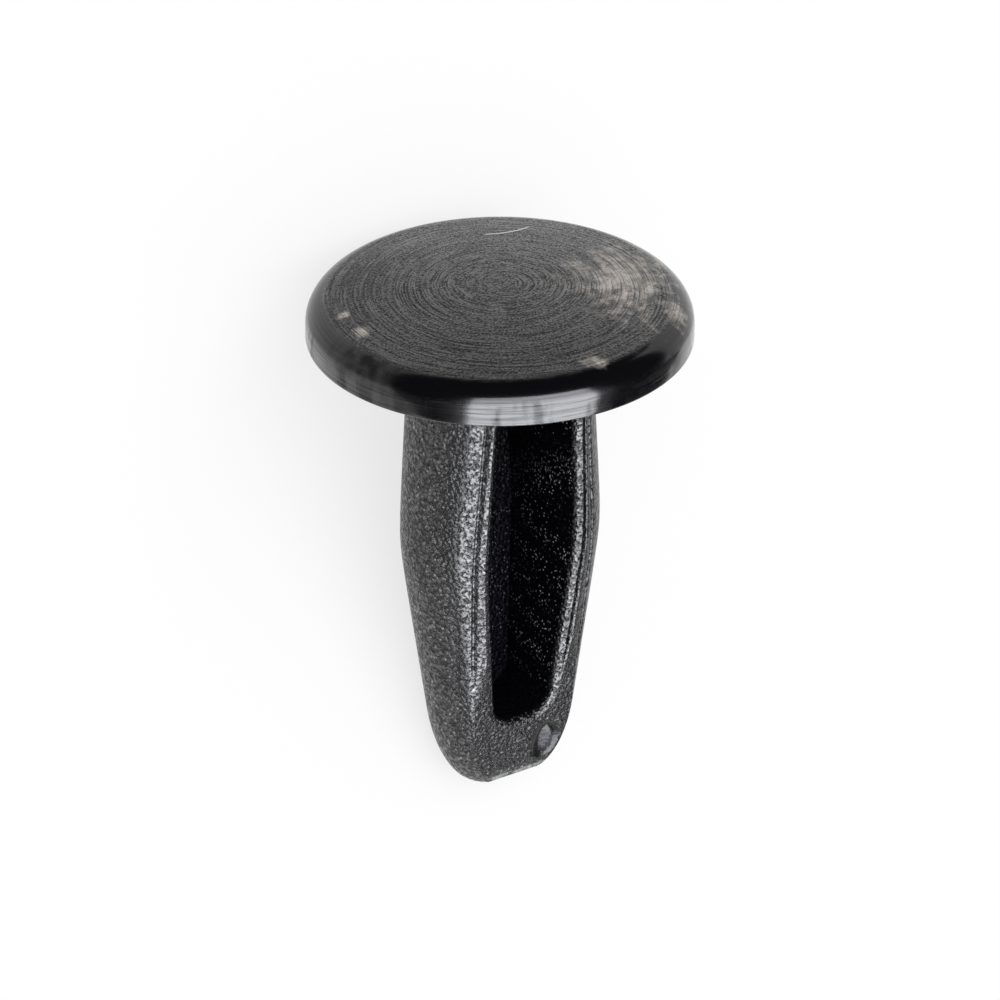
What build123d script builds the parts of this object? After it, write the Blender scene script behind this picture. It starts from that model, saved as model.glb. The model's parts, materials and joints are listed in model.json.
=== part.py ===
from build123d import *
import os
from math import asin, atan2, cos, degrees, hypot, radians, sin, tan

# Push-in bumper clip, moulded as one piece: a round crowned head on a slotted shank,
# whose two legs spring together as it goes into its hole. A thin web closes the slot's back.
# It is drawn upright first, with the head's underside at Z = 0 and the tip below it,
# X across the two legs and Y through the slot, whose front faces -Y.
# At the end it is laid on its back, as it comes to rest on a table.
# All sizes are millimetres. A depth is measured down from the head's underside.

# Head, turned about the clip's axis
head_diameter = 20.0
head_height = 2.98
rim_height = 0.75
shoulder_radius = 1.45

# Shank: outside sizes at the root, under the head, and at the knee, and the tapers below.
# The sizes at the knee are those of its sharp corner, before the bend is softened.
shank_length = 25.5
knee_depth = 11.4
knee_blend = 1.2
root_half_width = 4.80
knee_half_width = 5.62
side_taper = 0.157
root_half_depth = 3.58
knee_half_depth = 3.17
face_taper = 0.100
root_half_flat = 2.90
knee_half_flat = 3.72
flat_taper = 0.065
shank_overlap = 0.8

# Legs on each side of the slot, the tip that joins them below it and the web behind it
root_leg_thickness = 2.59
knee_leg_thickness = 2.91
leg_thinning = 0.052
tip_thickness = 3.8
web_thickness = 0.4

# Slot between the legs, open at the front and drafted so that it narrows towards the web.
# In a narrow slot the floor's corners are sharper, so that some flat is left in each half.
slot_knee_radius = 10.0
slot_floor_radius = 1.25
slot_floor_flat = 0.15
slot_draft_angle = 1.0
slot_edge_round = 0.28

# How far the slot's core reaches past the shank, and how close to the slot and the shank's
# face an edge lies to be rounded as one of the slot's own
core_margin = 0.5
edge_reach = 0.3

# Rounded nose at the end of the tip
nose_height = 3.9
nose_width_lost = 1.15
nose_depth_lost = 0.51
nose_flat_lost = 1.30

# Gate mark, a shallow dish sunk into the front of the tip, beside the clip's middle
gate_offset = 1.55
gate_height = 1.9
gate_width = 1.7
gate_sink = 0.22

# Sections that the shank is drawn through, evenly spaced down the legs and round the nose,
# and the points round the nose that are tried when the clip is laid down
leg_steps = 20
nose_steps = 4
nose_last_turn = radians(76)
rest_steps = 60

head_radius = head_diameter / 2
nose_start_depth = shank_length - nose_height
slot_floor_depth = shank_length - tip_thickness
gate_depth = shank_length - gate_height


def bent(depth, at_root, at_knee, taper):
    """A size that runs straight from the root to the knee, then tapers, with a soft bend."""
    above = (at_knee - at_root) / knee_depth
    past_knee = depth - knee_depth
    softened = hypot(past_knee, knee_blend)
    return at_knee + (above - taper) / 2 * past_knee - (above + taper) / 2 * softened


def half_width(depth):
    """Half the size across the legs, with the nose not yet rounded."""
    return bent(depth, root_half_width, knee_half_width, side_taper)


def half_depth(depth):
    """Half the size through the slot, with the nose not yet rounded."""
    return bent(depth, root_half_depth, knee_half_depth, face_taper)


def half_flat(depth):
    """Half the size across the flat faces, with the nose not yet rounded."""
    return bent(depth, root_half_flat, knee_half_flat, flat_taper)


def slot_half_width(depth):
    """Half the gap between the legs, at the front."""
    leg_thickness = bent(depth, root_leg_thickness, knee_leg_thickness, leg_thinning)
    return half_width(depth) - leg_thickness


def nose_sizes(turn):
    """Depth, half width, half depth and half flat of the nose, at a turn from its start."""
    depth = nose_start_depth + nose_height * sin(turn) / sin(nose_last_turn)
    lost = (1 - cos(turn)) / (1 - cos(nose_last_turn))
    width = half_width(depth) - nose_width_lost * lost
    thickness = half_depth(depth) - nose_depth_lost * lost
    flat = half_flat(depth) - nose_flat_lost * lost
    return depth, width, thickness, flat


def shank_section(depth, width, thickness, flat):
    """A section lying at a depth, flat at its front and back and round at its two sides."""
    outline = [
        Line((-flat, -thickness), (flat, -thickness)),
        ThreePointArc((flat, -thickness), (width, 0), (flat, thickness)),
        Line((flat, thickness), (-flat, thickness)),
        ThreePointArc((-flat, thickness), (-width, 0), (-flat, -thickness)),
    ]
    return Pos(0, 0, -depth) * make_face(outline)


def leg_section(depth):
    """A section above the nose."""
    return shank_section(depth, half_width(depth), half_depth(depth), half_flat(depth))


def nose_section(turn):
    """A section of the nose."""
    return shank_section(*nose_sizes(turn))


def make_head():
    """The crowned disc, turned from half of its section: the shoulder runs into the crown."""
    shoulder_centre = head_radius - shoulder_radius
    rise = head_height - rim_height
    crown_ball = (shoulder_centre**2 + rise**2 - shoulder_radius**2) / (2 * (rise - shoulder_radius))
    crown_turn = asin(shoulder_centre / (crown_ball - shoulder_radius))

    def on_crown(turn):
        return (crown_ball * sin(turn), 0, head_height - crown_ball * (1 - cos(turn)))

    rim_foot = (head_radius, 0, 0)
    rim_top = (head_radius, 0, rim_height)
    section = make_face([
        Line((0, 0, 0), rim_foot),
        Line(rim_foot, rim_top),
        TangentArc(rim_top, on_crown(crown_turn), tangent=(0, 0, 1)),
        ThreePointArc(on_crown(crown_turn), on_crown(crown_turn / 2), on_crown(0)),
        Line(on_crown(0), (0, 0, 0)),
    ])
    return revolve(section, axis=Axis.Z, revolution_arc=360)


def make_shank_blank():
    """The shank with no slot, from inside the head down to the tip."""
    leg_run = nose_start_depth + shank_overlap
    leg_depths = [leg_run * step / leg_steps - shank_overlap for step in range(leg_steps)]
    nose_turns = [nose_last_turn * step / nose_steps for step in range(nose_steps + 1)]
    sections = [leg_section(depth) for depth in leg_depths]
    sections += [nose_section(turn) for turn in nose_turns]
    return loft(sections)


def slot_outline(narrowing):
    """The slot's outline in its own plane, narrowed all round by its draft.

    Its open end lies above the shank, where the head closes it."""
    open_end = shank_overlap + core_margin
    floor_depth = slot_floor_depth - narrowing
    floor_half_width = slot_half_width(slot_floor_depth) - narrowing
    right_side = [
        (slot_half_width(-open_end) - narrowing, open_end),
        (slot_half_width(knee_depth) - narrowing, -knee_depth),
        (floor_half_width, -floor_depth),
    ]
    left_side = [(-x, y) for x, y in reversed(right_side)]
    floor_radius = min(slot_floor_radius, floor_half_width - slot_floor_flat)
    rounds = [slot_knee_radius, floor_radius, floor_radius, slot_knee_radius]
    sides = FilletPolyline(*right_side, *left_side, radius=rounds)
    return make_face([sides, Line(left_side[-1], right_side[0])])


def make_slot_core():
    """The core that leaves the gap between the legs, drafted through the whole shank."""
    reach = half_depth(-shank_overlap) + core_margin
    narrowing = 2 * reach * tan(radians(slot_draft_angle))
    front = Plane(origin=(0, -reach, 0), x_dir=(1, 0, 0), z_dir=(0, -1, 0))
    back = Plane(origin=(0, reach, 0), x_dir=(1, 0, 0), z_dir=(0, -1, 0))
    return loft([front * slot_outline(0), back * slot_outline(narrowing)], ruled=True)


def slot_edges(shank):
    """The slot's edges on the front face of the shank."""
    found = []
    for edge in shank.edges():
        middle = edge.position_at(0.5)
        depth = -middle.Z
        at_slot = abs(middle.X) < slot_half_width(depth) + edge_reach
        on_face = abs(middle.Y + half_depth(depth)) < edge_reach
        below_top = -shank_overlap / 2 < depth < slot_floor_depth + edge_reach
        if at_slot and on_face and below_top:
            found.append(edge)
    return found


def make_shank():
    """The two legs, the tip and the web, with the slot's front edges rounded.

    The core stops at the blank moved forward by the web's thickness, so it leaves the web."""
    blank = make_shank_blank()
    slot = make_slot_core() & Pos(0, -web_thickness, 0) * blank
    shank = blank - slot
    return fillet(slot_edges(shank), radius=slot_edge_round)


def make_gate_dish():
    """The ball that presses the gate mark into the front of the tip."""
    nose_share = max(gate_depth - nose_start_depth, 0) / nose_height
    thickness = nose_sizes(asin(nose_share * sin(nose_last_turn)))[2]
    ball_radius = (gate_width**2 / 4 + gate_sink**2) / (2 * gate_sink)
    return Pos(gate_offset, -thickness - ball_radius + gate_sink, -gate_depth) * Sphere(ball_radius)


def rest_tilt():
    """How far the clip's axis leans from level when it lies on the head's rim and the tip."""
    leans = []
    for step in range(rest_steps + 1):
        depth, _, thickness, _ = nose_sizes(nose_last_turn * step / rest_steps)
        leans.append(atan2(head_radius - thickness, depth))
    return min(leans)


upright = make_head() + make_shank() - make_gate_dish()
laid_down = Rot(X=degrees(rest_tilt()) - 90) * upright
bounds = laid_down.bounding_box()
clip = Pos(-bounds.center().X, -bounds.center().Y, -bounds.min.Z) * laid_down

os.makedirs("parts", exist_ok=True)
export_step(clip, "parts/clip.step")
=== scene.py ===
import json
from math import asin, atan, cos, exp, hypot, pi, radians, sin, sqrt, tan

import bmesh
import bpy
from bpy.props import FloatProperty, FloatVectorProperty, IntProperty, PointerProperty
from mathutils import Matrix, Vector


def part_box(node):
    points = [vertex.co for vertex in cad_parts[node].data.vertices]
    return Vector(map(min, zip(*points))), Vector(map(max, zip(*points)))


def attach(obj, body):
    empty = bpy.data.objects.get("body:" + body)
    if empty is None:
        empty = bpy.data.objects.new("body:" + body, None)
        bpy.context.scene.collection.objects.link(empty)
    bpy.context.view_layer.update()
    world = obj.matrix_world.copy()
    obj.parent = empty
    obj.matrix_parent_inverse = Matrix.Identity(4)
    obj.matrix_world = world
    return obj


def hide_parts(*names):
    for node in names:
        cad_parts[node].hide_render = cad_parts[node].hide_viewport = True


bl_info = {
    "name": "Push-in Bumper Clip",
    "version": (1, 0, 0),
    "blender": (4, 5, 0),
    "location": "3D View > Sidebar > Clip",
    "description": "Dresses a moulded push-in clip: turned round head and grained slotted shank",
    "category": "Object",
}

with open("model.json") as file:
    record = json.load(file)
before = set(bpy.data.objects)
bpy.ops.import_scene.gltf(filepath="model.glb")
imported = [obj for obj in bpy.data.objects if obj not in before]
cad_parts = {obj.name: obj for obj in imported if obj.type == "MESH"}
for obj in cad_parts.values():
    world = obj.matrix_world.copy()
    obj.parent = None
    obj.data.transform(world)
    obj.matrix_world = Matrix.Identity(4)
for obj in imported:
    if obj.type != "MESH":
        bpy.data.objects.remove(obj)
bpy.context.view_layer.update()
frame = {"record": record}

MM = 0.001

# The clip's own frame: X across the two legs, -Y out of the slot's front, Z from the tip to the
# head, with its origin in the middle of the head's flat underside. A depth runs down from it.
seat = next(mount for mount in frame["record"]["mounts"] if mount["name"] == "snap_shank")
root = Vector(seat["pos_m"])
upward = -Vector(seat["axis"]).normalized()
sideways = Vector((1, 0, 0))
backward = upward.cross(sideways)
clip_to_row = Matrix.Translation(root) @ Matrix((sideways, backward, upward)).transposed().to_4x4()
row_to_clip = clip_to_row.inverted()
clip_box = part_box("clip")
head_radius = (clip_box[1][0] - clip_box[0][0]) / 2


def plain_number(name, description, default, **settings):
    """A setting that is one number."""
    return FloatProperty(name=name, description=description, default=default, **settings)


def measure(name, description, millimetres):
    """A setting that is a length, given here in millimetres."""
    return plain_number(name, description, millimetres * MM, unit="LENGTH", subtype="DISTANCE",
                        precision=5)


def fraction(name, description, default):
    """A setting from 0 to 1."""
    return plain_number(name, description, default, min=0, max=1, subtype="FACTOR")


class HeadSizes(bpy.types.PropertyGroup):
    """Sizes of the round head."""

    height: measure("Height", "From the flat underside to the top of the crown", 2.98)
    rim_height: measure("Rim height", "Height of the upright rim", 0.75)
    shoulder_radius: measure(
        "Shoulder radius", "Radius that rolls the rim over into the crown", 1.45)
    edge_round: measure("Edge rounding", "Radius of the rim's lower edge", 0.07)
    steps: IntProperty(
        name="Steps round", description="Steps that the section is spun through",
        default=288, min=32, max=720)


class ShankSizes(bpy.types.PropertyGroup):
    """Sizes of the two legs, the slot, the web and the tip."""

    length: measure("Length", "From the head's underside to the end of the tip", 25.46)
    knee_depth: measure("Knee depth", "How far below the head the legs are widest", 11.4)
    knee_blend: measure("Knee blend", "Softness of the bend at the knee", 1.2)
    root_half_width: measure(
        "Half width at the root", "Half the size across both legs under the head", 4.80)
    knee_half_width: measure(
        "Half width at the knee", "Half the size across both legs at the knee", 5.62)
    side_taper: plain_number(
        "Side taper", "Narrowing of each side below the knee, per unit of depth", 0.157)
    root_half_depth: measure(
        "Half depth at the root", "Half the size from front to back under the head", 3.58)
    knee_half_depth: measure(
        "Half depth at the knee", "Half the size from front to back at the knee", 3.17)
    face_taper: plain_number(
        "Face taper", "Narrowing of each face below the knee, per unit of depth", 0.100)
    root_half_flat: measure(
        "Half flat at the root", "Half the width of the flat face under the head", 2.90)
    knee_half_flat: measure(
        "Half flat at the knee", "Half the width of the flat face at the knee", 3.72)
    flat_taper: plain_number(
        "Flat taper", "Narrowing of the flat face below the knee, per unit of depth", 0.065)
    root_leg: measure("Leg at the root", "Thickness of a leg under the head", 2.59)
    knee_leg: measure("Leg at the knee", "Thickness of a leg at the knee", 2.91)
    leg_thinning: plain_number(
        "Leg thinning", "Thinning of a leg below the knee, per unit of depth", 0.052)
    tip_thickness: measure("Tip thickness", "From the slot's floor to the end of the tip", 3.8)
    web_thickness: measure("Web thickness", "Thickness of the web that closes the slot's back", 0.4)
    floor_radius: measure("Floor radius", "Radius of the slot's lower corners", 1.25)
    edge_round: measure("Slot edge rounding", "Radius of the slot's front edges", 0.42)
    draft: plain_number(
        "Draft", "Slope of the slot's walls from front to back", radians(1.0), subtype="ANGLE")
    nose_height: measure("Nose height", "Depth over which the tip rounds off", 3.9)
    nose_turn: plain_number(
        "Nose turn", "How far round the tip's outline turns before its flat end",
        radians(76), subtype="ANGLE")
    nose_width_lost: measure(
        "Width lost at the end", "Half width that the rounding takes off", 1.15)
    nose_depth_lost: measure(
        "Depth lost at the end", "Half depth that the rounding takes off", 0.51)
    nose_flat_lost: measure("Flat lost at the end", "Half flat that the rounding takes off", 1.30)
    end_round: measure("End rounding", "Radius of the edges round the flat end", 0.05)
    bead_height: measure("Bead height", "How far the bead beside the slot stands up", 0.22)
    crease_depth: measure("Crease depth", "Depth of the groove outside the bead", 0.13)
    crease_width: measure("Crease width", "Half width of the groove outside the bead", 0.11)
    root_round: measure("Root rounding", "Radius where the shank meets the head", 0.35)
    overlap: measure("Overlap", "How far the shank reaches up into the head", 0.8)


class GateSizes(bpy.types.PropertyGroup):
    """Place and size of the gate mark on the tip."""

    offset: measure("Offset", "From the clip's middle, across the legs", 1.55)
    above_end: measure("Height", "From the end of the tip up to the mark's middle", 1.9)
    width: measure("Width", "Width of the dish", 1.7)
    length: measure("Length", "Length of the dish along the clip", 2.3)
    sink: measure("Sink", "Depth of the dish", 0.22)
    stub_offset: measure(
        "Stub offset", "From the dish's middle to the broken stub, across the legs", 0.12)
    stub_half_width: measure("Stub half width", "Half the width of the broken stub", 0.42)
    stub_half_length: measure("Stub half length", "Half the length of the broken stub", 0.82)
    stub_height: measure("Stub height", "Height of the broken stub above the dish", 0.18)
    stub_lean: plain_number(
        "Stub lean", "How much higher the stub's outer side stands, as a share", 0.9)


class LookSettings(bpy.types.PropertyGroup):
    """Colours, grain and marks of the plastic."""

    plastic: FloatVectorProperty(
        name="Plastic", description="Colour of the plastic",
        subtype="COLOR", size=3, min=0, max=1, default=(0.0025, 0.0025, 0.0035))
    # The wear colour also tints painted highlights: one on the right of the shoulder and a lobe on
    # the crown
    wear_and_highlight: FloatVectorProperty(
        name="Wear", description="Colour of scuffs and worn streaks",
        subtype="COLOR", size=3, min=0, max=1, default=(0.44, 0.395, 0.35))
    roughness: fraction("Roughness", "Roughness of the shank", 0.34)
    head_roughness: fraction("Head roughness", "Roughness of the head's crown", 0.26)
    rim_roughness: fraction(
        "Rim roughness", "Roughness of the head's smooth shoulder and rim", 0.12)
    grain_cell: measure("Grain", "Size of one bump of the shank's grain", 0.23)
    grain_depth: measure("Grain depth", "Depth of the shank's grain", 0.11)
    speck_cell: measure("Speck spacing", "Spacing of the glinting specks in the slot", 0.16)
    head_cell: measure("Head grain", "Size of one bump of the head's finer grain", 0.11)
    head_depth: measure("Head grain depth", "Depth of the head's finer grain", 0.06)
    ring_pitch: measure("Ring pitch", "Distance from one turned ring to the next", 0.22)
    ring_depth: measure("Ring depth", "Depth of the turned rings", 0.06)
    parting_height: measure(
        "Parting line", "Height of the line that the mould leaves on the sides", 0.03)


class StageSizes(bpy.types.PropertyGroup):
    """Floor, lamps and camera."""

    floor_size: measure("Floor size", "Side of the floor", 340)
    camera_lens: plain_number(
        "Lens", "Focal length of the camera in millimetres", 450, min=50, max=1000)
    view_width: measure("View width", "What the picture spans at the clip", 51.73)
    box_distance: measure("Soft box distance", "From the clip's head to the soft box", 500)
    box_width: measure("Soft box width", "Size of the soft box across the clip", 750)
    box_height: measure("Soft box height", "Size of the soft box along the clip", 950)
    box_power: plain_number(
        "Soft box power", "Strength of the soft box in the plastic's sheen",
        19, min=0, unit="POWER")
    card_power: plain_number(
        "Side card power", "Strength of the card that the head's side mirrors",
        0.18, min=0, unit="POWER")
    fill_power: plain_number(
        "Fill power", "Strength of the lamp that lights the floor", 3.8, min=0, unit="POWER")


def bent(depth, at_root, at_knee, taper, shank):
    """A size that runs straight from the root to the knee, then tapers, with a soft bend."""
    above = (at_knee - at_root) / shank.knee_depth
    past_knee = depth - shank.knee_depth
    softened = hypot(past_knee, shank.knee_blend)
    return at_knee + (above - taper) / 2 * past_knee - (above + taper) / 2 * softened


def nose_loss(depth, shank):
    """Share of the nose's rounding that is reached at a depth."""
    into = max(depth - shank.length + shank.nose_height, 0) / shank.nose_height
    turn = asin(min(into, 1) * sin(shank.nose_turn))
    return (1 - cos(turn)) / (1 - cos(shank.nose_turn))


def end_loss(depth, shank):
    """How much the rounding of the end's edges takes off at a depth."""
    into = min(max(depth - shank.length + shank.end_round, 0), shank.end_round)
    return shank.end_round - sqrt(shank.end_round**2 - into**2)


def section(depth, shank):
    """Half width, half depth and half flat of the shank at a depth."""
    loss = nose_loss(depth, shank)
    rounded = end_loss(depth, shank)
    width = bent(depth, shank.root_half_width, shank.knee_half_width, shank.side_taper, shank)
    thickness = bent(depth, shank.root_half_depth, shank.knee_half_depth, shank.face_taper, shank)
    flat = bent(depth, shank.root_half_flat, shank.knee_half_flat, shank.flat_taper, shank)
    return (
        width - shank.nose_width_lost * loss - rounded,
        thickness - shank.nose_depth_lost * loss - rounded,
        flat - shank.nose_flat_lost * loss - rounded,
    )


def side_arc(depth, shank):
    """Centre and radius of the round side at a depth: it runs from the flat to the half width."""
    width, thickness, flat = section(depth, shank)
    centre = (width**2 - flat**2 - thickness**2) / (2 * (width - flat))
    return centre, width - centre


def face_height(x, depth, shank):
    """How far the shank's face stands off its middle plane at a place seen from the front."""
    thickness, flat = section(depth, shank)[1:]
    if abs(x) <= flat:
        return thickness
    centre, radius = side_arc(depth, shank)
    return sqrt(max(radius**2 - (abs(x) - centre) ** 2, 0))


def slot_half_width(depth, shank):
    """Half the gap between the legs at the front."""
    width = bent(depth, shank.root_half_width, shank.knee_half_width, shank.side_taper, shank)
    leg = bent(depth, shank.root_leg, shank.knee_leg, shank.leg_thinning, shank)
    return width - leg


# Depths between which the bead and the crease fade out, and how near the slot the bead's top
# lies: nearer with less
BEAD_FADE = (17 * MM, 20.5 * MM)
CREASE_FADE = (17 * MM, 20.0 * MM)
BEAD_LEAN = 0.45

# Fullness of the gate mark's dish and of its stub: steeper sides with less
DISH_FULLNESS = 0.7
STUB_FULLNESS = 0.4

# Halvings in a search for a distance, and the most of the way out that the crease may lie
HALVINGS = 40
CREASE_LIMIT = 0.8

# Steps along one leg, round the slot's lower corner in two stretches and along half its floor
LEG_STEPS = 120
CORNER_STEPS = 44
END_STEPS = 20
FLOOR_STEPS = 16

# Steps across the slot's wall, its rounded edge, the flat with its bead, the round side and the end
WALL_STEPS = 10
ROUND_STEPS = 6
FLAT_STEPS = 30
SIDE_STEPS = 30
END_WALL_STEPS = 10

# How far round the side its steps reach, how they crowd towards the crease, and the sine of the
# furthest turn that they may start from
SIDE_REACH = radians(80)
SIDE_CROWDING = 1.5
SIDE_START_LIMIT = 0.9


class Station:
    """One cut through the shank's right half, square to the slot's outline seen from the front."""

    def __init__(self, x, depth, turn, at_end, shank):
        self.x = x
        self.depth = depth
        self.turn = turn
        self.at_end = at_end
        self.out_x = cos(turn)
        self.out_depth = sin(turn)
        self.reach = self.find_reach(shank)
        self.crease = self.find_crease(shank)

    def place(self, distance):
        """The point seen from the front at a distance out from the slot's edge."""
        return self.x + distance * self.out_x, self.depth + distance * self.out_depth

    def find_reach(self, shank):
        """Distance to the outline: to the flat end, or nearly round the side."""
        if self.at_end:
            return (shank.length - self.depth) / self.out_depth
        low, high = 0, shank.length
        for _ in range(HALVINGS):
            middle = (low + high) / 2
            x, depth = self.place(middle)
            centre, radius = side_arc(min(depth, shank.length), shank)
            if x > centre + radius * sin(SIDE_REACH) or depth > shank.length:
                high = middle
            else:
                low = middle
        return low

    def find_crease(self, shank):
        """Distance to the edge of the flat face, kept short of the outline."""
        low, high = 0, self.reach * CREASE_LIMIT
        for _ in range(HALVINGS):
            middle = (low + high) / 2
            x, depth = self.place(middle)
            if x > section(depth, shank)[2]:
                high = middle
            else:
                low = middle
        return low


def slot_stations(shank):
    """Cuts from inside the head down the right leg and round the floor to the clip's middle."""
    floor_depth = shank.length - shank.tip_thickness
    radius = shank.floor_radius
    start_turn = atan(shank.side_taper - shank.leg_thinning)
    centre_depth = floor_depth - radius
    start_depth = centre_depth + radius * sin(start_turn)
    centre_x = slot_half_width(start_depth, shank) - radius * cos(start_turn)
    stations = []
    for step in range(LEG_STEPS):
        depth = -shank.overlap + (start_depth + shank.overlap) * step / LEG_STEPS
        stations.append(Station(slot_half_width(depth, shank), depth, 0, False, shank))
    centre, side_radius = side_arc(shank.length, shank)
    corner_x = centre + side_radius * sin(SIDE_REACH)
    corner_turn = pi / 2 - atan((corner_x - centre_x) / (shank.length - centre_depth))
    turns = [(start_turn + (corner_turn - start_turn) * step / CORNER_STEPS, False)
             for step in range(CORNER_STEPS)]
    turns += [(corner_turn + (pi / 2 - corner_turn) * step / END_STEPS, True)
              for step in range(END_STEPS)]
    for turn, at_end in turns:
        x = centre_x + radius * cos(turn)
        depth = centre_depth + radius * sin(turn)
        stations.append(Station(x, depth, turn, at_end, shank))
    for step in range(FLOOR_STEPS + 1):
        x = centre_x * (1 - step / FLOOR_STEPS)
        stations.append(Station(x, floor_depth, pi / 2, True, shank))
    return stations


def fade(value, start, end):
    """1 before start, 0 past end, and a smooth fall between."""
    share = min(max((value - start) / (end - start), 0), 1)
    return 1 - share * share * (3 - 2 * share)


def even_ends(share):
    """Spreads even steps so that they close up towards both ends."""
    return (1 - cos(pi * share)) / 2


def bead_rise(share, station, shank):
    """Height of the bead, which is steep by the slot's edge and slopes off to the crease."""
    return shank.bead_height * fade(station.depth, *BEAD_FADE) * sin(pi * share**BEAD_LEAN)


def crease_drop(distance, station, shank):
    """Depth of the groove at a distance from the crease."""
    strength = fade(station.depth, *CREASE_FADE)
    return shank.crease_depth * strength * exp(-((distance / shank.crease_width) ** 2))


def root_flare(depth, shank):
    """How much the shank swells where it meets the head."""
    rest = min(max(shank.root_round - depth, 0), shank.root_round)
    return shank.root_round - sqrt(shank.root_round**2 - rest**2)


def gate_drop(x, depth, gate, shank):
    """Depth of the gate mark's dish at a place on the tip's front."""
    across = (x - gate.offset) / (gate.width / 2)
    along = (depth - shank.length + gate.above_end) / (gate.length / 2)
    dish = gate.sink * max(1 - across**2 - along**2, 0) ** DISH_FULLNESS
    stub_across = (x - gate.offset - gate.stub_offset) / gate.stub_half_width
    stub_along = (depth - shank.length + gate.above_end) / gate.stub_half_length
    stub = max(1 - stub_across**2 - stub_along**2, 0) ** STUB_FULLNESS
    return dish - gate.stub_height * stub * (1 + stub_across * gate.stub_lean)


def front_profile(station, shank):
    """Points from the web up the slot's wall, over its edge and the face to the outline."""
    edge_height = face_height(station.x, station.depth, shank)
    round_height = edge_height - shank.edge_round
    web_height = -(edge_height - shank.web_thickness)
    points = []
    for step in range(WALL_STEPS):
        height = web_height + (round_height - web_height) * step / WALL_STEPS
        inward = (round_height - height) * tan(shank.draft)
        points.append((*station.place(-inward), height))
    for step in range(ROUND_STEPS):
        angle = pi / 2 * step / ROUND_STEPS
        outward = shank.edge_round * (1 - cos(angle))
        points.append((*station.place(outward), round_height + shank.edge_round * sin(angle)))
    for step in range(FLAT_STEPS):
        share = even_ends(step / FLAT_STEPS)
        distance = shank.edge_round + (station.crease - shank.edge_round) * share
        x, depth = station.place(distance)
        height = face_height(x, depth, shank) + bead_rise(share, station, shank)
        height -= crease_drop(station.crease - distance, station, shank)
        points.append((x, depth, height))
    return points + side_profile(station, shank, 1)


def side_profile(station, shank, side):
    """Points from the crease to the outline, on the front or the back."""
    centre, radius = side_arc(station.place(station.reach)[1], shank)
    flat = section(station.place(station.crease)[1], shank)[2]
    start = asin(min(max((flat - centre) / radius, 0), SIDE_START_LIMIT))
    points = []
    for step in range(SIDE_STEPS + 1):
        angle = start + (SIDE_REACH - start) * (step / SIDE_STEPS) ** SIDE_CROWDING
        share = (sin(angle) - sin(start)) / (sin(SIDE_REACH) - sin(start))
        distance = station.crease + (station.reach - station.crease) * share
        x, depth = station.place(distance)
        height = face_height(x, depth, shank)
        if side > 0:
            height -= crease_drop(distance - station.crease, station, shank)
        points.append((x, depth, side * height))
    return points


def end_profile(station, shank):
    """Points round the outermost side, or down the flat end, from front to back."""
    x, depth = station.place(station.reach)
    height = face_height(x, depth, shank)
    centre, radius = side_arc(depth, shank)
    points = []
    for step in range(1, END_WALL_STEPS):
        part = height * (1 - 2 * step / END_WALL_STEPS)
        around = centre + sqrt(radius**2 - part**2)
        points.append((x if station.at_end else around, depth, part))
    return points


def back_profile(station, shank):
    """Points along the back from the outline to the slot's far side, under the web."""
    edge_height = face_height(station.x, station.depth, shank)
    inward = 2 * edge_height * tan(shank.draft)
    points = side_profile(station, shank, -1)[::-1]
    for step in range(1, FLAT_STEPS + 1):
        share = even_ends(step / FLAT_STEPS)
        distance = station.crease + (-inward - station.crease) * share
        x, depth = station.place(distance)
        points.append((x, depth, -face_height(x, depth, shank)))
    return points


def swell(point, shank):
    """Moves a point out with the rounding at the shank's root."""
    x, depth, height = point
    flare = root_flare(depth, shank)
    size = hypot(x, height)
    grown = (size + flare) / size if size else 1
    return x * grown, depth, height * grown


def shank_profile(station, shank, gate, mirrored):
    """All points of a cut in the clip's frame, on the right or mirrored to the left."""
    points = front_profile(station, shank) + end_profile(station, shank)
    points += back_profile(station, shank)
    side = -1 if mirrored else 1
    placed = []
    for number, point in enumerate(points):
        x, depth, height = swell(point, shank) if number > WALL_STEPS + ROUND_STEPS else point
        x = side * x
        if height > 0 and number > WALL_STEPS:
            height -= gate_drop(x, depth, gate, shank)
        placed.append(Vector((x, -height, -depth)))
    return placed


def wrap_grid(bm, rows, columns, place, slot_columns=0):
    """Lays an even grid of faces over a surface: place gives the point of a row and a column.

    The faces of the first columns get the slot's material."""
    made = bmesh.ops.create_grid(bm, x_segments=rows, y_segments=columns, size=1)
    for face in {face for vert in made["verts"] for face in vert.link_faces}:
        column = (face.calc_center_median().y + 1) / 2 * columns
        face.material_index = 1 if column < slot_columns else 0
    for vert in made["verts"]:
        row = round((vert.co.x + 1) / 2 * rows)
        column = round((vert.co.y + 1) / 2 * columns)
        vert.co = place(row, column)
    return made["verts"]


# Faces that meet at more than this angle are shaded with a hard edge, and points closer than
# this distance become one
SHARP_ANGLE = radians(50)
MERGE_DISTANCE = 1e-7


def new_piece(name, bm, materials):
    """Turns a mesh in the clip's frame into a finished piece of the clip."""
    bmesh.ops.transform(bm, matrix=clip_to_row, verts=bm.verts)
    for edge in bm.edges:
        edge.smooth = edge.calc_face_angle(pi) < SHARP_ANGLE
    mesh = bpy.data.meshes.new(name)
    bm.to_mesh(mesh)
    bm.free()
    piece = bpy.data.objects.new(name, mesh)
    bpy.context.scene.collection.objects.link(piece)
    for material in materials:
        mesh.materials.append(material)
    for face in mesh.polygons:
        face.use_smooth = True
    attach(piece, "root")
    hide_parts("clip")
    return piece


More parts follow.
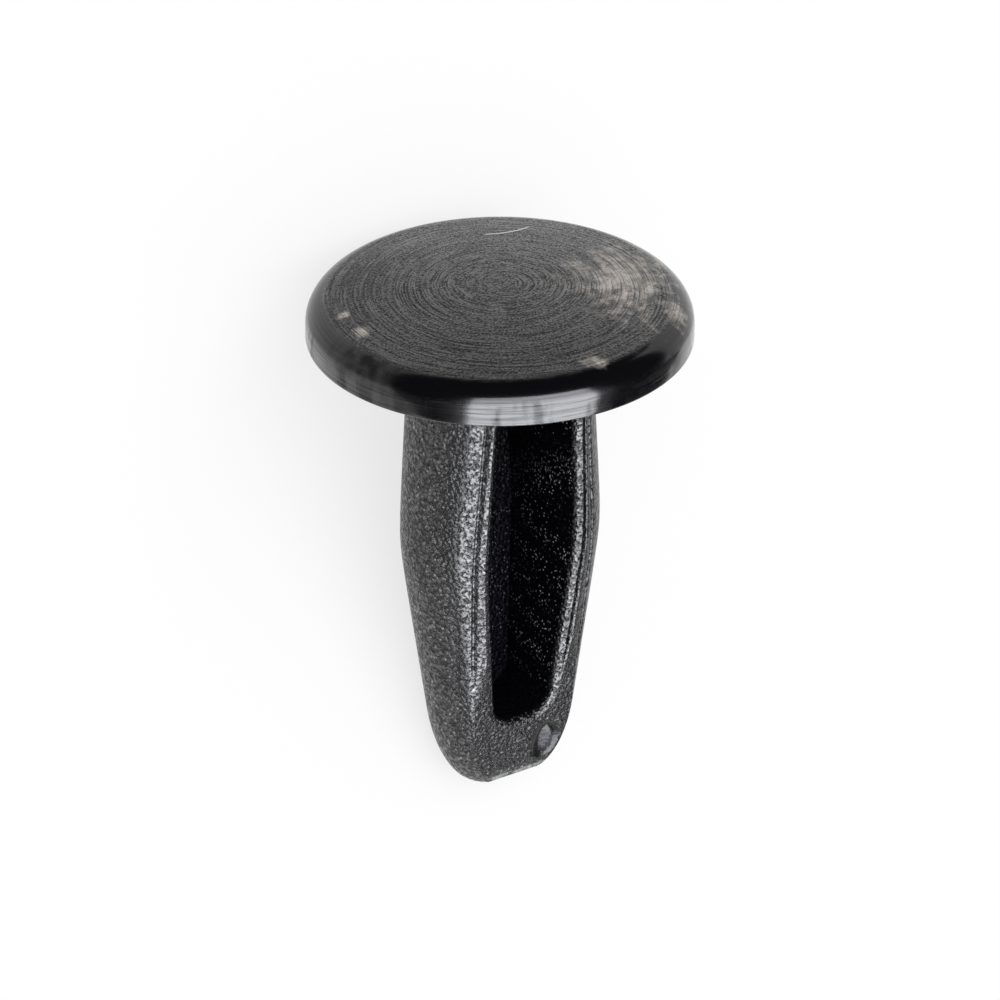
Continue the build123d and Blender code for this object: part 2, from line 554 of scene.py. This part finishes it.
class Field:
    """A value that varies over the surface: arithmetic on it adds nodes to its tree."""

    def __init__(self, tree, socket):
        self.tree = tree
        self.socket = socket

    def beside(self, name):
        """Another output of the same node."""
        return Field(self.tree, self.socket.node.outputs[name])

    def __add__(self, other):
        return calculate(self.tree, "ADD", self, other)

    def __radd__(self, other):
        return calculate(self.tree, "ADD", other, self)

    def __sub__(self, other):
        return calculate(self.tree, "SUBTRACT", self, other)

    def __rsub__(self, other):
        return calculate(self.tree, "SUBTRACT", other, self)

    def __mul__(self, other):
        return calculate(self.tree, "MULTIPLY", self, other)

    def __rmul__(self, other):
        return calculate(self.tree, "MULTIPLY", other, self)

    def __truediv__(self, other):
        return calculate(self.tree, "DIVIDE", self, other)

    def __rtruediv__(self, other):
        return calculate(self.tree, "DIVIDE", other, self)

    def __abs__(self):
        return calculate(self.tree, "ABSOLUTE", self)


def wire(value, socket):
    """Feeds a socket from a field or sets it to a constant."""
    if isinstance(value, Field):
        value.tree.links.new(value.socket, socket)
    else:
        socket.default_value = value


def add_node(tree, kind, feeds, output=0, **settings):
    """Places a node, feeds its inputs by name or number and gives one of its outputs."""
    node = tree.nodes.new("ShaderNode" + kind)
    for name, setting in settings.items():
        setattr(node, name, setting)
    for key, value in feeds.items():
        wire(value, node.inputs[key])
    return Field(tree, node.outputs[output])


def calculate(tree, operation, *values, **settings):
    """One step of arithmetic on numbers."""
    return add_node(tree, "Math", dict(enumerate(values)), operation=operation, **settings)


def calculate_vector(operation, first, *others, output=0):
    """One step of arithmetic on vectors."""
    feeds = dict(enumerate((first, *others)))
    return add_node(first.tree, "VectorMath", feeds, output, operation=operation)


def larger(first, second):
    """The larger of two numbers."""
    return calculate(first.tree, "MAXIMUM", first, second)


def rise(value, low, high):
    """0 below low, 1 above high, smooth between."""
    feeds = {"Value": value, "From Min": low, "From Max": high}
    return add_node(value.tree, "MapRange", feeds, interpolation_type="SMOOTHSTEP")


def fall(value, low, high):
    """1 below low, 0 above high, smooth between."""
    return 1 - rise(value, low, high)


def split(vector):
    """The three parts of a vector."""
    x = add_node(vector.tree, "SeparateXYZ", {0: vector})
    return x, x.beside("Y"), x.beside("Z")


def join(tree, x, y, z):
    """A vector from its three parts."""
    return add_node(tree, "CombineXYZ", {0: x, 1: y, 2: z})


def distance_out(place):
    """Distance of a place from the Z axis."""
    x, y, _ = split(place)
    return calculate(place.tree, "SQRT", x * x + y * y)


def from_ellipse(x, z, middle_x, middle_z, half_width, half_length):
    """Square of the distance from an ellipse's middle: 1 on the ellipse itself."""
    across = (x - middle_x) / half_width
    along = (z - middle_z) / half_length
    return across * across + along * along


def cloud(place, scale, detail=2.0, output="Fac"):
    """Soft noise from 0 to 1."""
    feeds = {"Vector": place, "Scale": scale, "Detail": detail}
    return add_node(place.tree, "TexNoise", feeds, output)


def blend_colour(amount, first, second):
    """Mixes two colours."""
    feeds = {"Factor": amount, 6: first, 7: second}
    return add_node(amount.tree, "Mix", feeds, 2, data_type="RGBA")


NUMBER = "NodeSocketFloat"
VECTOR = "NodeSocketVector"


def new_group(name, inputs, outputs):
    """An empty node group: returns its tree, its inputs as fields and its outputs' sockets."""
    tree = bpy.data.node_groups.new(name, "ShaderNodeTree")
    for label, kind in inputs.items():
        tree.interface.new_socket(label, in_out="INPUT", socket_type=kind)
    for label, kind in outputs.items():
        tree.interface.new_socket(label, in_out="OUTPUT", socket_type=kind)
    sockets = tree.nodes.new("NodeGroupInput").outputs
    given = [Field(tree, sockets[label]) for label in inputs]
    return tree, given, tree.nodes.new("NodeGroupOutput").inputs


def use_group(tree, name, *values):
    """Places a node group, feeds its inputs in order and gives its outputs."""
    node = tree.nodes.new("ShaderNodeGroup")
    node.node_tree = bpy.data.node_groups[name]
    for value, socket in zip(values, node.inputs):
        wire(value, socket)
    return [Field(tree, socket) for socket in node.outputs]


# How far the photo's view is turned round the clip from the slot's front
VIEW_TURN = radians(34)


def build_clip_place():
    """Object coordinates as millimetres in the clip's own frame."""
    tree, _, result = new_group("clip_place", {}, {"Place": VECTOR})
    wire(add_node(tree, "Mapping", {
        "Vector": add_node(tree, "TexCoord", {}, "Object"),
        "Scale": (1 / MM, 1 / MM, 1 / MM),
        "Rotation": row_to_clip.to_euler(),
        "Location": row_to_clip.translation / MM,
    }), result["Place"])


def build_grain():
    """Moulded grain: pillowed cells of a given size, and sparse glinting specks."""
    tree, (place, cell), result = new_group(
        "moulded_grain", {"Place": VECTOR, "Cell": NUMBER}, {"Height": NUMBER, "Speck": NUMBER})
    scale = 1 / cell
    bent_place = calculate_vector(
        "MULTIPLY_ADD", cloud(place, scale, output="Color"), (0.12, 0.12, 0.12), place)
    pillows = add_node(tree, "TexVoronoi", {
        "Vector": bent_place, "Scale": scale, "Smoothness": 0.6}, feature="SMOOTH_F1")
    wire(pillows * -0.7 + 1.2 * cloud(place, scale * 1.3, 1.5), result["Height"])
    specks = add_node(tree, "TexVoronoi", {"Vector": place, "Scale": scale})
    chosen = rise(split(specks.beside("Color"))[0], 0.4, 1.0)
    wire(fall(specks, 0.14, 0.4) * chosen, result["Speck"])


def build_rings():
    """Rings that turning leaves round a centre, uneven in depth and broken along their length."""
    tree, (place, centre, pitch), result = new_group(
        "turned_rings", {"Place": VECTOR, "Centre": VECTOR, "Pitch": NUMBER},
        {"Height": NUMBER, "Radius": NUMBER})
    radius = distance_out(calculate_vector("SUBTRACT", place, centre))
    count = radius / pitch + cloud(place, 0.35)
    wave = cloud(join(tree, count, 0, 0), 1.6, 3.0) - 0.5
    uneven = 0.3 + cloud(join(tree, radius, 0, 0), 1.1)
    broken = rise(cloud(place, 0.8), 0.32, 0.62)
    wire(wave * (uneven * broken), result["Height"])
    wire(radius, result["Radius"])


def build_streaks():
    """Fine lines that run round the head, with slow smudges across them."""
    tree, (place,), result = new_group(
        "round_streaks", {"Place": VECTOR}, {"Height": NUMBER, "Smudge": NUMBER})
    x, y, z = split(place)
    way_x, way_y, _ = split(calculate_vector("NORMALIZE", join(tree, x, y, 0)))
    level = z * 11 - distance_out(place) * 11
    along = join(tree, way_x * 2.4, way_y * 2.4, level)
    wire(cloud(along, 1.0, 3.0), result["Height"])
    across = join(tree, way_x * 9, way_y * 9, z * 0.3)
    wire(cloud(across, 1.3, 3.0), result["Smudge"])


def from_centre(place, centre):
    """Where a place lies from a mark's centre, in the plane turned with the photo's view."""
    turned = add_node(place.tree, "Mapping", {"Vector": place, "Rotation": (0, 0, VIEW_TURN)})
    return calculate_vector("SUBTRACT", turned, centre)


def build_patch():
    """A ragged patch round a centre."""
    tree, (place, centre, half_size), result = new_group(
        "ragged_patch", {"Place": VECTOR, "Centre": VECTOR, "Half size": VECTOR},
        {"Mask": NUMBER})
    share = calculate_vector("DIVIDE", from_centre(place, centre), half_size)
    edge = calculate_vector("LENGTH", share, output="Value") + cloud(place, 1.6, 5.0) * 1.8
    wire(fall(edge, 0.75, 1.75), result["Mask"])


def build_scratch():
    """A fine line that follows the near side of a circle between two places across the view."""
    tree, (place, centre, radius, start, end, width), result = new_group(
        "curved_scratch", {"Place": VECTOR, "Centre": VECTOR, "Radius": NUMBER, "From": NUMBER,
                           "To": NUMBER, "Width": NUMBER}, {"Mask": NUMBER})
    offset = from_centre(place, centre)
    x, y, _ = split(offset)
    line = fall(abs(distance_out(offset) - radius) / width, 0.3, 1.0)
    ends = rise(x - start, 0.0, 0.3) * rise(end - x, 0.0, 0.3)
    wire(line * ends * fall(y, -0.1, 0.0), result["Mask"])


# Marks on the crown, in millimetres in the plane turned with the view: each has its middle and
# its half size, across the view, away from it and up. The first is the middle of the rings.
RING_CENTRE = (0.34, -0.23, 0)
SCUFFS_AND_HIGHLIGHT = [
    ((7.7, 0.7, 2.6), (0.75, 2.2, 3)),
    ((6.1, 3.6, 2.6), (1.3, 1.0, 3)),
    ((-8.0, -2.2, 2.4), (0.5, 0.7, 3)),
    ((-7.0, -4.1, 2.4), (0.8, 0.8, 3)),
    ((4.8, -7.1, 2.3), (0.9, 0.7, 3)),
    # This last mark is a painted highlight on the right of the shoulder, not a scuff
    ((9.0, -1.5, 1.9), (0.7, 1.8, 3)),
]

# Broad faint haze of fine scuffs, a duller stretch of the crown, painted shade on the left of the
# shoulder, the lobe beside the rings' middle and the one opposite it, where the rings show most
HAZE = ((6.2, 1.3, 2.6), (4.0, 6.5, 3))
DULL_CROWN = ((-7.0, 0.5, 2.6), (4.5, 7.5, 3))
SHADED_SHOULDER = ((-7.0, -6.9, 1.9), (3.4, 3.4, 3))
# Inside the rings' lobe the crown's pale film is made stronger, as a painted highlight
RING_LOBE = ((3.0, 0.3, 2.9), (3.6, 2.6, 3))
FAR_LOBE = ((-4.2, -1.2, 2.9), (3.4, 3.2, 3))

# Scratch on the crown: its circle's middle and radius, its ends from that middle and its width
SCRATCH = ((-0.96, 9.27, 0), 3.10, 0.01, 2.56, 0.07)

# Heights in millimetres between which the shoulder gives way to the crown, the rim to the
# shoulder and the underside to the rim, and distances from the middle where the rings end
CROWN_EDGE = (2.02, 2.22)
RIM_EDGE = (1.1, 1.5)
UNDERSIDE_EDGE = (0.02, 0.1)
RINGS_END = (5.5, 8.0)

# Places in millimetres on the shank: where its right side gets painted shade, where its front ends,
# where the parting line runs and how wide, where the pale burr with its painted highlight begins
# above the end and towards the front, and where the slot's glints fade out down and back through it
SHADED_SIDE = (2.3, 3.4)
FRONT_END = (-0.5, 0.0)
PARTING_PLACE = -0.15
PARTING_EDGE = (0.02, 0.14)
BURR_AND_HIGHLIGHT_ABOVE_END = (0.25, 0.45)
BURR_AND_HIGHLIGHT_FRONT = (-1.5, -1.0)
SLOT_GLINTS_DOWN = (-21.5, -18.5)
SLOT_GLINTS_BACK = (-2.5, 3.5)

# Specular level of the dull pits, and roughness and refraction of the polish over the tops
HEAD_POLISH = (0.12, 0.14, 1.62)
SHANK_POLISH = (0.32, 0.18, 1.68)
# In the slot the specular level is nearly nothing: painted shade in the recess between the legs
SLOT_SHADED_POLISH = (0.02, 0.2, 1.5)

SCRATCH_COLOUR = (0.75, 0.75, 0.73, 1)
BURR_AND_HIGHLIGHT_COLOUR = (0.34, 0.37, 0.35, 1)
STUB_COLOUR = (0.055, 0.057, 0.065, 1)
GLINT_COLOUR = (0.4, 0.4, 0.43, 1)
SLOT_COLOUR = (0.003, 0.003, 0.005, 1)
SLOT_GLINT_COLOUR = (0.7, 0.7, 0.73, 1)


def start_material(name, roughness, sheen, polish_roughness, polish_ior):
    """A material with its shader's constants: returns it, its shader's inputs and the place.

    The polish on the tops of the grain lies over the duller pits as a coat."""
    material = bpy.data.materials.new(name)
    material.use_nodes = True
    tree = material.node_tree
    inputs = tree.nodes["Principled BSDF"].inputs
    inputs["Roughness"].default_value = roughness
    inputs["Specular IOR Level"].default_value = sheen
    inputs["Coat Roughness"].default_value = polish_roughness
    inputs["Coat IOR"].default_value = polish_ior
    return material, inputs, use_group(tree, "clip_place")[0]


def bump(height):
    """The normal that a height in millimetres gives."""
    return add_node(height.tree, "Bump", {"Distance": MM, "Height": height})


def grain_of(place, cell):
    """Height of the moulded grain and its specks, for a cell's size in metres."""
    return use_group(place.tree, "moulded_grain", place, cell / MM)


def patch(place, mark):
    """Mask of a ragged patch, given by its middle and half size."""
    return use_group(place.tree, "ragged_patch", place, *mark)[0]


def head_material(look):
    """Fine-grained plastic with turned rings, scuffs and a streaked rim."""
    material, inputs, place = start_material("head_plastic", look.head_roughness, *HEAD_POLISH)
    tree = place.tree
    z = split(place)[2]
    ragged = cloud(place, 1.5, 4.0) * 0.24 - 0.12
    on_crown = rise(z + ragged, *CROWN_EDGE)
    on_rim = fall(z, *RIM_EDGE)
    below = fall(z, *UNDERSIDE_EDGE)
    grain = grain_of(place, look.head_cell)[0]
    rings, radius = use_group(tree, "turned_rings", place, RING_CENTRE, look.ring_pitch / MM)
    streaks, smudge = use_group(tree, "round_streaks", place)
    lobe = patch(place, RING_LOBE)
    shown = 0.3 + larger(lobe, patch(place, FAR_LOBE))

    grain_depth = look.head_depth / MM * (on_crown * 0.95 + 0.05)
    ring_depth = look.ring_depth / MM * fall(radius, *RINGS_END) * (shown * on_crown)
    streak_depth = (larger(on_rim, on_crown) - below) * 0.05 + 0.004
    height = grain * grain_depth + rings * ring_depth + streaks * streak_depth
    wire(bump(height), inputs["Normal"])

    polish = rise(grain * 0.55 + streaks * 0.6 + rings * (shown * 3.2), 0.30, 0.61)
    polish = polish * (1 - patch(place, DULL_CROWN) * 0.45)
    smooth = on_rim * 0.5 + (streaks * 0.5 + 0.2)
    # Painted shade: the shoulder loses its polish on the left, so it mirrors only darkness there
    smooth = smooth * (1 - patch(place, SHADED_SHOULDER) * (1 - on_rim))
    polish = polish * on_crown + smooth * (1 - on_crown)
    smears = rise(smudge, 0.45, 0.7) * 0.45 + 0.5 * fall(streaks, 0.25, 0.6)
    worn_rim = on_rim * smears * (1 - below)
    wire(calculate(tree, "SUBTRACT", polish, worn_rim, use_clamp=True), inputs["Coat Weight"])

    # Scuffs in the wear colour, one of them a painted highlight on the shoulder
    scuffs_and_highlight = patch(place, HAZE)
    for mark in SCUFFS_AND_HIGHLIGHT:
        scuffs_and_highlight = larger(scuffs_and_highlight, patch(place, mark))
    pale_wear_and_highlight = scuffs_and_highlight * rise(cloud(place, 6.0, 4.0), 0.22, 0.5) * rise(streaks, 0.22, 0.58)
    # A faint pale film along the crown's streaks, made stronger in the rings' lobe as a painted
    # highlight
    film_and_highlight = rise(streaks, 0.45, 0.75) * on_crown * (0.06 + lobe * 0.14)
    colour = blend_colour(pale_wear_and_highlight + film_and_highlight, (*look.plastic, 1), (*look.wear_and_highlight, 1))
    scratch = use_group(tree, "curved_scratch", place, *SCRATCH)[0]
    wire(blend_colour(scratch * on_crown, colour, SCRATCH_COLOUR), inputs["Base Color"])

    smudged = larger(rise(smudge, 0.35, 0.7) * on_rim, below)
    duller = on_crown * (look.head_roughness - look.rim_roughness)
    wire(duller + (smudged * 0.25 + look.rim_roughness), inputs["Roughness"])
    return material


def shank_material(look, gate, shank):
    """Grained plastic with a parting line, a gate mark, a pale burr and painted highlight at the
    end, and painted shade on its right side.
    """
    material, inputs, place = start_material("shank_plastic", look.roughness, *SHANK_POLISH)
    x, y, z = split(place)
    grain, speck = grain_of(place, look.grain_cell)
    behind = rise(y, *FRONT_END)
    gate_z = (gate.above_end - shank.length) / MM
    from_gate = from_ellipse(x, z, gate.offset / MM, gate_z,
                             gate.width / MM / 2, gate.length / MM / 2)
    grained = larger(rise(from_gate, 0.8, 1.5), behind)
    from_stub = from_ellipse(x, z, (gate.offset + gate.stub_offset) / MM, gate_z,
                             gate.stub_half_width / MM, gate.stub_half_length / MM)
    fibres = cloud(join(place.tree, x * 9, 0, z * 2), 1.0, 3.0)
    torn = fall(larger(from_stub, behind), 0.45, 0.95) * rise(fibres, 0.2, 0.7)

    ridge = fall(abs(y - PARTING_PLACE), *PARTING_EDGE)
    grain_depth = look.grain_depth / MM * (grained * 0.85 + 0.15)
    wire(bump(grain * grain_depth + ridge * (look.parting_height / MM)), inputs["Normal"])

    pores = cloud(place, 9.0, 3.0) - 0.45
    polish = rise(grain * 0.8 + pores, 0.12, 0.55) * grained + 0.15 * (1 - grained)
    # Painted shade on the right side of the shank: less polish and fewer painted glints there
    shaded_side = 1 - rise(x, *SHADED_SIDE) * 0.55
    wire(polish * shaded_side * (1 - torn * 0.9), inputs["Coat Weight"])

    # The pale colour at the front of the end's edge is partly a burr and partly a painted highlight
    # on the rounded edge
    above_end = z + shank.length / MM
    burr_and_highlight = fall(above_end, *BURR_AND_HIGHLIGHT_ABOVE_END) * fall(y, *BURR_AND_HIGHLIGHT_FRONT)
    burr_and_highlight = burr_and_highlight * rise(cloud(place, 1.5, 4.0), 0.40, 0.60)
    colour = blend_colour(burr_and_highlight, (*look.plastic, 1), BURR_AND_HIGHLIGHT_COLOUR)
    colour = blend_colour(torn, colour, STUB_COLOUR)
    colour = blend_colour(speck * 0.6 * shaded_side * grained, colour, GLINT_COLOUR)
    wire(colour, inputs["Base Color"])
    return material


def slot_material(look):
    """The slot's walls and web: painted shade, nearly black with almost no sheen, and sparse
    painted glints.
    """
    material, inputs, place = start_material("slot_plastic", look.roughness, *SLOT_SHADED_POLISH)
    _, y, z = split(place)
    speck = grain_of(place, look.speck_cell)[1]
    speck = speck * (0.1 + fall(y, *SLOT_GLINTS_BACK)) * rise(z, *SLOT_GLINTS_DOWN)
    wire(blend_colour(speck, SLOT_COLOUR, SLOT_GLINT_COLOUR), inputs["Base Color"])
    grain = grain_of(place, look.grain_cell)[0]
    wire(bump(grain * (look.grain_depth / MM)), inputs["Normal"])
    return material


# Steps along half of the head's section: crown, shoulder, rim, its lower edge and underside
CROWN_STEPS = 40
SHOULDER_STEPS = 16
RIM_STEPS = 4
RIM_EDGE_STEPS = 4
UNDERSIDE_STEPS = 8


def head_outline(head):
    """Radius and height round half of the head's section, from the crown's middle outwards."""
    shoulder_centre = head_radius - head.shoulder_radius
    crown_rise = head.height - head.rim_height
    crown_ball = shoulder_centre**2 + crown_rise**2 - head.shoulder_radius**2
    crown_ball /= 2 * (crown_rise - head.shoulder_radius)
    crown_turn = asin(shoulder_centre / (crown_ball - head.shoulder_radius))
    outline = []
    for step in range(CROWN_STEPS + 1):
        turn = crown_turn * step / CROWN_STEPS
        outline.append((crown_ball * sin(turn), head.height - crown_ball * (1 - cos(turn))))
    for step in range(1, SHOULDER_STEPS + 1):
        turn = crown_turn + (pi / 2 - crown_turn) * step / SHOULDER_STEPS
        outline.append((shoulder_centre + head.shoulder_radius * sin(turn),
                        head.rim_height + head.shoulder_radius * cos(turn)))
    for step in range(1, RIM_STEPS + 1):
        drop = (head.rim_height - head.edge_round) * step / RIM_STEPS
        outline.append((head_radius, head.rim_height - drop))
    for step in range(1, RIM_EDGE_STEPS + 1):
        turn = pi / 2 * step / RIM_EDGE_STEPS
        outline.append((head_radius - head.edge_round * (1 - cos(turn)),
                        head.edge_round * (1 - sin(turn))))
    for step in range(1, UNDERSIDE_STEPS + 1):
        outline.append(((head_radius - head.edge_round) * (1 - step / UNDERSIDE_STEPS), 0))
    return outline


class CLIP_OT_head(bpy.types.Operator):
    """Spin the crowned head from half of its section"""

    bl_idname = "clip.make_head"
    bl_label = "Head"

    def execute(self, context):
        head = context.scene.clip_head
        bm = bmesh.new()
        chain = [bm.verts.new((radius, 0, height)) for radius, height in head_outline(head)]
        edges = [bm.edges.new(pair) for pair in zip(chain, chain[1:])]
        bmesh.ops.spin(bm, geom=chain + edges, cent=(0, 0, 0), axis=(0, 0, 1), angle=2 * pi,
                       steps=head.steps, use_merge=True)
        bmesh.ops.remove_doubles(bm, verts=bm.verts, dist=MERGE_DISTANCE)
        bmesh.ops.recalc_face_normals(bm, faces=bm.faces)
        new_piece("clip_head", bm, [head_material(context.scene.clip_look)])
        return {"FINISHED"}


class CLIP_OT_shank(bpy.types.Operator):
    """Wrap the slotted shank round its stations and close it with the web"""

    bl_idname = "clip.make_shank"
    bl_label = "Shank"

    def execute(self, context):
        shank = context.scene.clip_shank
        gate = context.scene.clip_gate
        stations = slot_stations(shank)
        right = [shank_profile(station, shank, gate, False) for station in stations]
        left = [shank_profile(station, shank, gate, True) for station in stations]
        around = right + left[-2::-1]
        columns = len(right[0]) - 1
        floor_row = len(stations) - 1 - FLOOR_STEPS
        bm = bmesh.new()
        wrap_grid(bm, len(around) - 1, columns, lambda row, column: around[row][column], WALL_STEPS)
        for column in (0, columns):
            def across_slot(row, across, column=column):
                if row < floor_row:
                    point = right[row][column].copy()
                    point.x *= across / FLOOR_STEPS - 1
                    return point
                side = right if across >= FLOOR_STEPS else left
                return side[floor_row + FLOOR_STEPS - abs(across - FLOOR_STEPS)][column]
            wrap_grid(bm, floor_row, 2 * FLOOR_STEPS, across_slot, 0 if column else 2 * FLOOR_STEPS)
        bmesh.ops.remove_doubles(bm, verts=bm.verts, dist=MERGE_DISTANCE)
        bmesh.ops.holes_fill(bm, edges=[edge for edge in bm.edges if edge.is_boundary], sides=0)
        bmesh.ops.recalc_face_normals(bm, faces=bm.faces)
        look = context.scene.clip_look
        new_piece("clip_shank", bm, [shank_material(look, gate, shank), slot_material(look)])
        return {"FINISHED"}


# Way from the clip to the camera in the clip's frame, and how far below the head it aims
CAMERA_WAY = Vector((-0.4905, -0.7272, 0.4802)).normalized()
AIM_DEPTH = 9.7 * MM

# Turn of the soft box round the clip from the slot's front, how far it hangs down for each unit
# out, and its colour
BOX_TURN = radians(-15)
BOX_DROP = 0.115
BOX_COLOUR = (0.95, 0.96, 1)

# Side card: its size, its distance from the floor's middle, its turn from X and its lift
CARD_WIDTH = 0.42
CARD_HEIGHT = 0.15
CARD_DISTANCE = 0.4
CARD_TURN = radians(18)
CARD_LIFT = radians(8)

# Lamp over the floor: its width and how high it hangs
FILL_WIDTH = 0.8
FILL_HEIGHT = 0.6

# Shares of plain white in the floor as the camera sees it and as the sheen does, and strengths
# of the world as light and in the sheen
FLOOR_WHITE = 0.75
FLOOR_SHEEN = 0.4
FLOOR_COLOUR = (0.8, 0.8, 0.8, 1)
WORLD_LIGHT = 0.6
WORLD_SHEEN = 0.02
WHITE = (1, 1, 1)


def new_lamp(name, width, height, power, colour):
    """A rectangular lamp that shines down its own -Z."""
    data = bpy.data.lights.new(name, "AREA")
    data.shape = "RECTANGLE"
    data.size = width
    data.size_y = height
    data.energy = power
    data.color = colour
    lamp = bpy.data.objects.new(name, data)
    bpy.context.scene.collection.objects.link(lamp)
    lamp.rotation_mode = "QUATERNION"
    return lamp


def hang(thing, aim, way, distance):
    """Sets a camera or lamp off what it aims at, with its top towards the clip's head."""
    side = upward.cross(way).normalized()
    thing.location = aim + way * distance
    thing.rotation_mode = "QUATERNION"
    thing.rotation_quaternion = Matrix((side, way.cross(side), way)).transposed().to_quaternion()


def floor_material():
    """White paper: plain white to the camera and in the sheen, softened where it is shaded."""
    material = bpy.data.materials.new("pale_paper")
    material.use_nodes = True
    tree = material.node_tree
    shader = tree.nodes["Principled BSDF"]
    shader.inputs["Base Color"].default_value = FLOOR_COLOUR
    shader.inputs["Specular IOR Level"].default_value = 0
    seen = add_node(tree, "LightPath", {}, "Is Camera Ray")
    share = larger(seen * FLOOR_WHITE, seen.beside("Is Glossy Ray") * FLOOR_SHEEN)
    white = add_node(tree, "Emission", {"Color": (*WHITE, 1)})
    mixed = add_node(tree, "MixShader", {0: share, 1: Field(tree, shader.outputs[0]), 2: white})
    wire(mixed, tree.nodes["Material Output"].inputs["Surface"])
    return material


def studio_world():
    """White to the camera, dim in the sheen and even light for everything else."""
    world = bpy.data.worlds.new("studio")
    world.use_nodes = True
    background = world.node_tree.nodes["Background"].inputs
    seen = add_node(world.node_tree, "LightPath", {}, "Is Camera Ray")
    plain = (1 - seen.beside("Is Glossy Ray")) * WORLD_LIGHT
    wire(larger(larger(plain, seen), WORLD_SHEEN), background["Strength"])
    background["Color"].default_value = (*WHITE, 1)
    return world


def lay_floor(size):
    """A flat square floor that is no part of the clip."""
    bm = bmesh.new()
    bmesh.ops.create_grid(bm, x_segments=1, y_segments=1, size=size / 2)
    mesh = bpy.data.meshes.new("floor")
    bm.to_mesh(mesh)
    bm.free()
    mesh.materials.append(floor_material())
    floor = bpy.data.objects.new("floor", mesh)
    bpy.context.scene.collection.objects.link(floor)


class CLIP_OT_stage(bpy.types.Operator):
    """Lay the floor, hang the lamps and set the camera"""

    bl_idname = "clip.make_stage"
    bl_label = "Stage"

    def execute(self, context):
        scene = context.scene
        stage = scene.clip_stage
        lay_floor(stage.floor_size)
        turned = clip_to_row.to_3x3()

        camera_data = bpy.data.cameras.new("camera")
        camera_data.lens = stage.camera_lens
        camera = bpy.data.objects.new("camera", camera_data)
        scene.collection.objects.link(camera)
        distance = stage.view_width * stage.camera_lens / camera_data.sensor_width
        hang(camera, clip_to_row @ Vector((0, 0, -AIM_DEPTH)), turned @ CAMERA_WAY, distance)
        camera_data.clip_start = distance / 10
        camera_data.clip_end = distance * 10
        scene.camera = camera

        soft_box = new_lamp("soft_box", stage.box_width, stage.box_height, stage.box_power,
                            BOX_COLOUR)
        box_way = Vector((sin(BOX_TURN), -cos(BOX_TURN), -BOX_DROP)).normalized()
        hang(soft_box, root, turned @ box_way, stage.box_distance)
        soft_box.visible_diffuse = False

        card = new_lamp("side_card", CARD_WIDTH, CARD_HEIGHT, stage.card_power, WHITE)
        card_way = Vector((cos(CARD_TURN) * cos(CARD_LIFT), sin(CARD_TURN) * cos(CARD_LIFT),
                           sin(CARD_LIFT)))
        card.location = card_way * CARD_DISTANCE
        card.rotation_quaternion = card_way.to_track_quat("Z", "Y")
        card.visible_diffuse = False

        fill = new_lamp("fill", FILL_WIDTH, FILL_WIDTH, stage.fill_power, WHITE)
        fill.location = (0, 0, FILL_HEIGHT)
        fill.visible_glossy = False

        scene.world = studio_world()
        scene.view_settings.view_transform = "Standard"
        return {"FINISHED"}


class CLIP_PT_tools(bpy.types.Panel):
    """Buttons and sizes for the clip"""

    bl_label = "Bumper Clip"
    bl_idname = "CLIP_PT_tools"
    bl_space_type = "VIEW_3D"
    bl_region_type = "UI"
    bl_category = "Clip"

    def draw(self, context):
        for operator in OPERATORS:
            self.layout.operator(operator.bl_idname)
        for name, group in GROUPS.items():
            box = self.layout.box()
            box.label(text=group.__doc__)
            for setting in group.__annotations__:
                box.prop(getattr(context.scene, name), setting)


GROUPS = {
    "clip_head": HeadSizes,
    "clip_shank": ShankSizes,
    "clip_gate": GateSizes,
    "clip_look": LookSettings,
    "clip_stage": StageSizes,
}
OPERATORS = (CLIP_OT_stage, CLIP_OT_head, CLIP_OT_shank)


def register():
    for name, group in GROUPS.items():
        bpy.utils.register_class(group)
        setattr(bpy.types.Scene, name, PointerProperty(type=group))
    for item in (*OPERATORS, CLIP_PT_tools):
        bpy.utils.register_class(item)


def unregister():
    for item in (CLIP_PT_tools, *reversed(OPERATORS)):
        bpy.utils.unregister_class(item)
    for name, group in reversed(GROUPS.items()):
        delattr(bpy.types.Scene, name)
        bpy.utils.unregister_class(group)


def main():
    register()
    for build in (build_clip_place, build_grain, build_rings, build_streaks, build_patch,
                  build_scratch):
        build()
    bpy.ops.clip.make_stage()
    bpy.ops.clip.make_head()
    bpy.ops.clip.make_shank()


if __name__ == "__main__":
    main()
